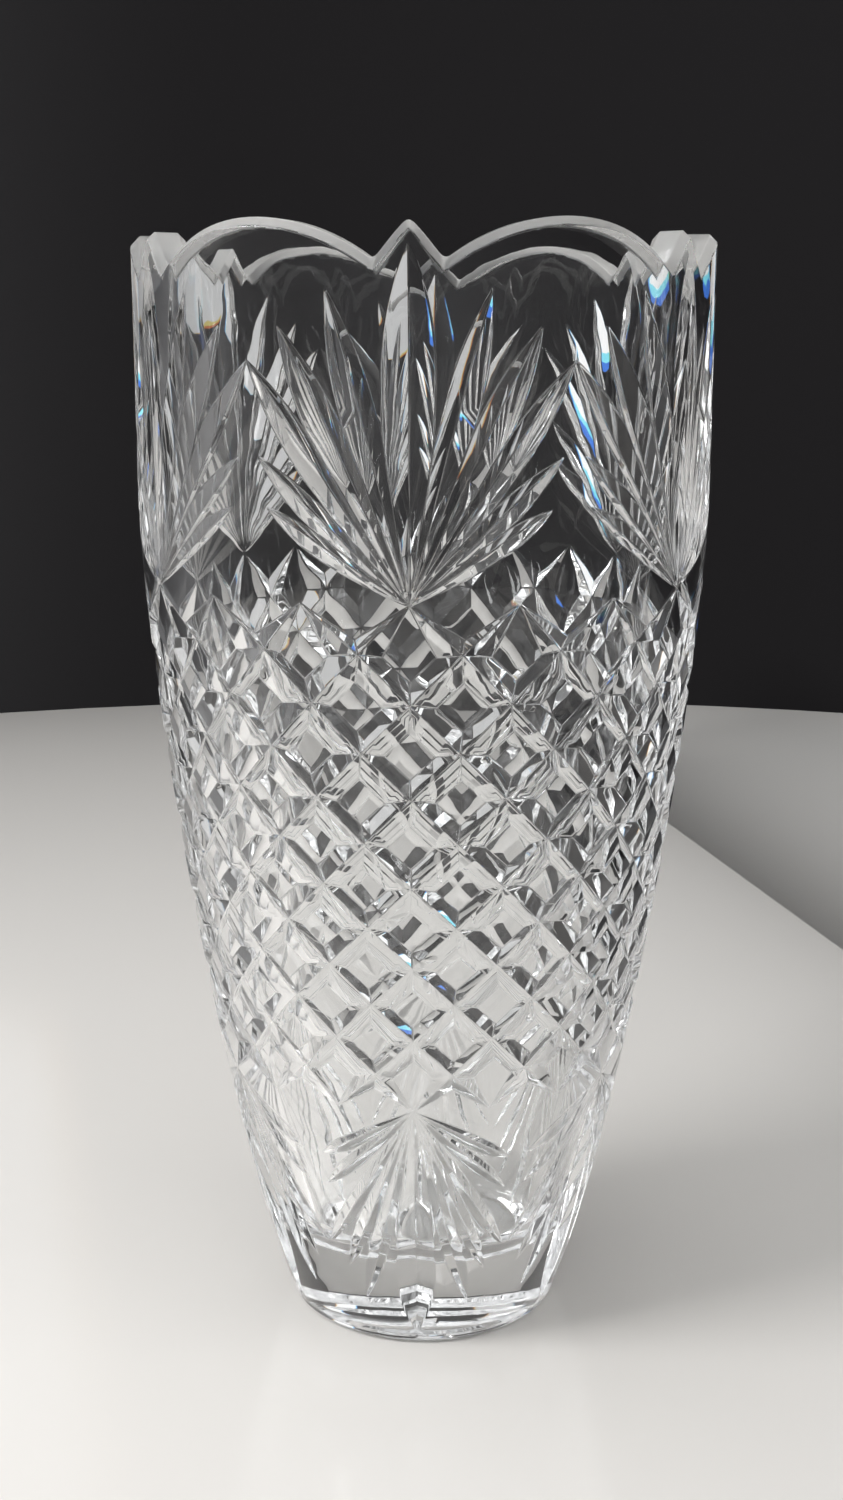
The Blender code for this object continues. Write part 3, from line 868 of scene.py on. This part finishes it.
def noise_node(tree, place, scale, detail):
    noise = tree.nodes.new("ShaderNodeTexNoise")
    noise.inputs["Scale"].default_value = scale
    noise.inputs["Detail"].default_value = detail
    tree.links.new(place.outputs["Object"], noise.inputs["Vector"])
    return noise


def glass_material():
    """Clear glass with faint smudges and ripples, and a ground bloom on the rim."""
    material = bpy.data.materials.new("crystal_glass")
    material.use_nodes = True
    tree = material.node_tree
    nodes, links = tree.nodes, tree.links
    shader = nodes["Principled BSDF"]
    shader.inputs["Base Color"].default_value = GLASS_COLOUR
    shader.inputs["IOR"].default_value = GLASS_IOR
    shader.inputs["Transmission Weight"].default_value = 1.0
    place = nodes.new("ShaderNodeTexCoord")
    smudge = noise_node(tree, place, SMUDGE_SCALE, SMUDGE_DETAIL)
    rough = nodes.new("ShaderNodeMapRange")
    rough.inputs["From Min"].default_value = SMUDGE_RANGE[0]
    rough.inputs["From Max"].default_value = SMUDGE_RANGE[1]
    rough.inputs["To Min"].default_value = 0.0
    rough.inputs["To Max"].default_value = SMUDGE_ROUGHNESS
    links.new(smudge.outputs["Fac"], rough.inputs["Value"])
    ground = nodes.new("ShaderNodeAttribute")
    ground.attribute_name = "ground"
    both = nodes.new("ShaderNodeMix")
    both.data_type = "FLOAT"
    both.inputs["B"].default_value = GROUND_ROUGHNESS
    links.new(ground.outputs["Fac"], both.inputs["Factor"])
    links.new(rough.outputs["Result"], both.inputs["A"])
    links.new(both.outputs["Result"], shader.inputs["Roughness"])
    ripple = noise_node(tree, place, RIPPLE_SCALE, RIPPLE_DETAIL)
    bump = nodes.new("ShaderNodeBump")
    bump.inputs["Strength"].default_value = RIPPLE_STRENGTH
    bump.inputs["Distance"].default_value = RIPPLE_HEIGHT
    links.new(ripple.outputs["Fac"], bump.inputs["Height"])
    links.new(bump.outputs["Normal"], shader.inputs["Normal"])
    return material


def make_vase():
    columns = rim_angles(RIM_CHAMFER)
    skin_points, skin_faces = outer_skin(columns)
    plain_points, plain_faces, plain_kinds, plain_normals = plain_skin(columns)
    shift = len(skin_points)
    points = np.concatenate([skin_points, plain_points])
    faces = skin_faces + [tuple(k + shift for k in face) for face in plain_faces]
    normals = np.concatenate([skin_normals(skin_points), plain_normals])
    kinds = [SKIN] * shift + plain_kinds
    solid = round_vase(points, faces, normals, kinds)
    mesh = bpy.data.meshes.new("cut_crystal_vase")
    solid.to_mesh(mesh)
    solid.free()
    finish_surface(mesh)
    return add_object("cut_crystal_vase", mesh, glass_material())


# Studio

CAMERA_DISTANCE = 0.4192
CAMERA_HEIGHT = 0.2224
CAMERA_PITCH = math.radians(11.91)
CAMERA_TURN = math.radians(2.63)
CAMERA_YAW = math.radians(0.07)
LENS = 44.0
NEAREST_SEEN = 0.01

FLOOR_RADIUS = 1.3
FLOOR_GAP = 0.1 * MM
FLOOR_COLOUR = (0.87, 0.84, 0.80)
FLOOR_ROUGHNESS = 0.16
FLOOR_GLOSS = 0.5
BACKDROP_RADIUS = 0.8
BACKDROP_HEIGHT = 0.53
DARK = (0.02, 0.019, 0.02)
GREY = (0.3, 0.3, 0.31)
GREY_SIDE = (-0.75, -0.65, 0.0)  # the backdrop grows lighter towards this side
GREY_RANGE = (-0.4, 0.8)
DARK_ROUGHNESS = 0.9
RING_CORNERS = 96
SHADE_CARD_LINE = ((0.06, 0.62), (0.27, -0.2))  # foot of a dark card of painted shade, from end to end
SHADE_CARD_HEIGHT = 0.105

SKY_COLOUR = (0.96, 0.98, 1.0, 1.0)
SKY_BRIGHTEST = (-0.5, -0.4, 0.8)
SKY_DARK_BELOW = 0.25
SKY_BRIGHT_ABOVE = 0.85
SKY_LOW = 0.03
SKY_HIGH = 1.0
LIGHTS = (
    # name, place, what it is turned to, width, height, watts
    ("window_left", (-0.7, -0.35, 0.5), (0, 0, 0.1), 0.4, 0.4, 9.4),
    ("fill_right", (0.7, -0.3, 0.6), (0, 0, 0.12), 0.5, 0.5, 1.6),
    ("top", (-0.1, -0.25, 1.3), (0, 0, 0.05), 1.4, 1.2, 3.0),
)
BACK_WINDOWS = (
    # name, place, width, height, watts
    ("back_left", (-0.38, 0.66, 0.34), 0.25, 0.45, 0.2),
    ("back_right", (0.35, 0.68, 0.36), 0.14, 0.4, 0.2),
)
BACK_TARGET = (0, 0, 0.15)
FRINGES = (
    # each back window is three tinted lamps a little apart, so that its edges show colours
    ("red", (0.75, 0.2, 0.05), 0.005),
    ("green", (0.2, 0.6, 0.2), 0.0),
    ("blue", (0.05, 0.2, 0.75), -0.005),
)
WHITE = (1.0, 1.0, 1.0)

# Enough bounces for light to find its way through the cuts
GLASS_BOUNCES = 32
GLOSSY_BOUNCES = 16
TRANSPARENT_BOUNCES = 8
BRIGHTEST_BOUNCE = 8.0


def add_object(name, data, material=None):
    """A new object in the scene, with its material."""
    if material:
        data.materials.append(material)
    thing = bpy.data.objects.new(name, data)
    bpy.context.scene.collection.objects.link(thing)
    return thing


def stage_material(name, colour, roughness, gloss):
    material = bpy.data.materials.new(name)
    material.use_nodes = True
    shader = material.node_tree.nodes["Principled BSDF"]
    shader.inputs["Base Color"].default_value = (*colour, 1.0)
    shader.inputs["Roughness"].default_value = roughness
    shader.inputs["Specular IOR Level"].default_value = gloss
    return material


def backdrop_material():
    """A dark matt wall that grows grey towards one side."""
    material = stage_material("backdrop", DARK, DARK_ROUGHNESS, 0.0)
    nodes, links = material.node_tree.nodes, material.node_tree.links
    place = nodes.new("ShaderNodeTexCoord")
    side = nodes.new("ShaderNodeVectorMath")
    side.operation = "DOT_PRODUCT"
    side.inputs[1].default_value = GREY_SIDE
    links.new(place.outputs["Object"], side.inputs[0])
    share = nodes.new("ShaderNodeMapRange")
    share.interpolation_type = "SMOOTHSTEP"
    share.inputs["From Min"].default_value = GREY_RANGE[0]
    share.inputs["From Max"].default_value = GREY_RANGE[1]
    links.new(side.outputs["Value"], share.inputs["Value"])
    tone = nodes.new("ShaderNodeMix")
    tone.data_type = "RGBA"
    tone.inputs["A"].default_value = (*DARK, 1.0)
    tone.inputs["B"].default_value = (*GREY, 1.0)
    links.new(share.outputs["Result"], tone.inputs["Factor"])
    links.new(tone.outputs["Result"], nodes["Principled BSDF"].inputs["Base Color"])
    return material


def make_camera():
    data = bpy.data.cameras.new("camera")
    data.lens = LENS
    data.clip_start = NEAREST_SEEN
    camera = add_object("camera", data)
    camera.location = (
        CAMERA_DISTANCE * math.sin(CAMERA_TURN),
        -CAMERA_DISTANCE * math.cos(CAMERA_TURN),
        CAMERA_HEIGHT,
    )
    camera.rotation_euler = (math.pi / 2 - CAMERA_PITCH, 0.0, CAMERA_TURN + CAMERA_YAW)
    bpy.context.scene.camera = camera


def ring_points(mesh, radius, z):
    turns = [2 * math.pi * k / RING_CORNERS for k in range(RING_CORNERS)]
    return [mesh.verts.new((radius * math.cos(t), radius * math.sin(t), z)) for t in turns]


def stage_mesh(name, mesh, material):
    """A finished piece of the stage."""
    data = bpy.data.meshes.new(name)
    mesh.to_mesh(data)
    mesh.free()
    data.shade_smooth()
    thing = add_object(name, data, material)
    return thing


def make_floor():
    mesh = bmesh.new()
    mesh.faces.new(ring_points(mesh, FLOOR_RADIUS, -FLOOR_GAP))
    material = stage_material("pale_floor", FLOOR_COLOUR, FLOOR_ROUGHNESS, FLOOR_GLOSS)
    stage_mesh("floor", mesh, material)


def make_backdrop():
    mesh = bmesh.new()
    lower, upper = (ring_points(mesh, BACKDROP_RADIUS, z) for z in (0.0, BACKDROP_HEIGHT))
    for k in range(RING_CORNERS):
        j = (k + 1) % RING_CORNERS
        mesh.faces.new((lower[k], lower[j], upper[j], upper[k]))
    stage_mesh("backdrop", mesh, backdrop_material())


def make_shade_card():
    """An upright dark card of painted shade, which only the glass and the floor see: it darkens
    the floor and the glass on the vase's right.
    """
    (x0, y0), (x1, y1) = SHADE_CARD_LINE
    corners = [(x0, y0, 0.0), (x1, y1, 0.0), (x1, y1, SHADE_CARD_HEIGHT), (x0, y0, SHADE_CARD_HEIGHT)]
    mesh = bmesh.new()
    mesh.faces.new([mesh.verts.new(corner) for corner in corners])
    # painted shade: a dark sheet that shades the floor and darkens what the glass sees on the
    # right
    card = stage_mesh("shade_card", mesh, stage_material("shade_card", DARK, DARK_ROUGHNESS, 0.0))
    card.visible_camera = False


def make_sky():
    """A sky that is brightest high up on one side and nearly dark low down."""
    world = bpy.data.worlds.new("soft_sky")
    bpy.context.scene.world = world
    world.use_nodes = True
    nodes, links = world.node_tree.nodes, world.node_tree.links
    place = nodes.new("ShaderNodeTexCoord")
    towards = nodes.new("ShaderNodeVectorMath")
    towards.operation = "DOT_PRODUCT"
    towards.inputs[1].default_value = Vector(SKY_BRIGHTEST).normalized()
    links.new(place.outputs["Generated"], towards.inputs[0])
    rise = nodes.new("ShaderNodeMapRange")
    rise.inputs["From Min"].default_value = SKY_DARK_BELOW
    rise.inputs["From Max"].default_value = SKY_BRIGHT_ABOVE
    rise.inputs["To Min"].default_value = SKY_LOW
    rise.inputs["To Max"].default_value = SKY_HIGH
    links.new(towards.outputs["Value"], rise.inputs["Value"])
    background = nodes["Background"]
    background.inputs["Color"].default_value = SKY_COLOUR
    links.new(rise.outputs["Result"], background.inputs["Strength"])


def area_light(name, place, target, size, watts, colour):
    data = bpy.data.lights.new(name, "AREA")
    data.shape = "RECTANGLE"
    data.size, data.size_y = size
    data.energy = watts
    data.color = colour
    lamp = add_object(name, data)
    lamp.location = place
    lamp.rotation_euler = (Vector(target) - Vector(place)).to_track_quat("-Z", "Y").to_euler()
    lamp.visible_camera = False


def make_lights():
    for name, place, target, width, height, watts in LIGHTS:
        area_light(name, place, target, (width, height), watts, WHITE)
    for name, (x, y, z), width, height, watts in BACK_WINDOWS:
        for tint, colour, shift in FRINGES:
            place = (x + shift, y, z + shift)
            area_light(f"{name}_{tint}", place, BACK_TARGET, (width, height), watts, colour)


def set_render():
    scene = bpy.context.scene
    scene.view_settings.view_transform = "Standard"
    scene.cycles.max_bounces = GLASS_BOUNCES
    scene.cycles.transmission_bounces = GLASS_BOUNCES
    scene.cycles.glossy_bounces = GLOSSY_BOUNCES
    scene.cycles.transparent_max_bounces = TRANSPARENT_BOUNCES
    scene.cycles.sample_clamp_indirect = BRIGHTEST_BOUNCE


set_render()
make_camera()
make_floor()
make_backdrop()
# painted shade on the vase's right, from a dark card the camera does not see
make_shade_card()
make_sky()
make_lights()
vase = make_vase()
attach(vase, "root")
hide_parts("vase_body")
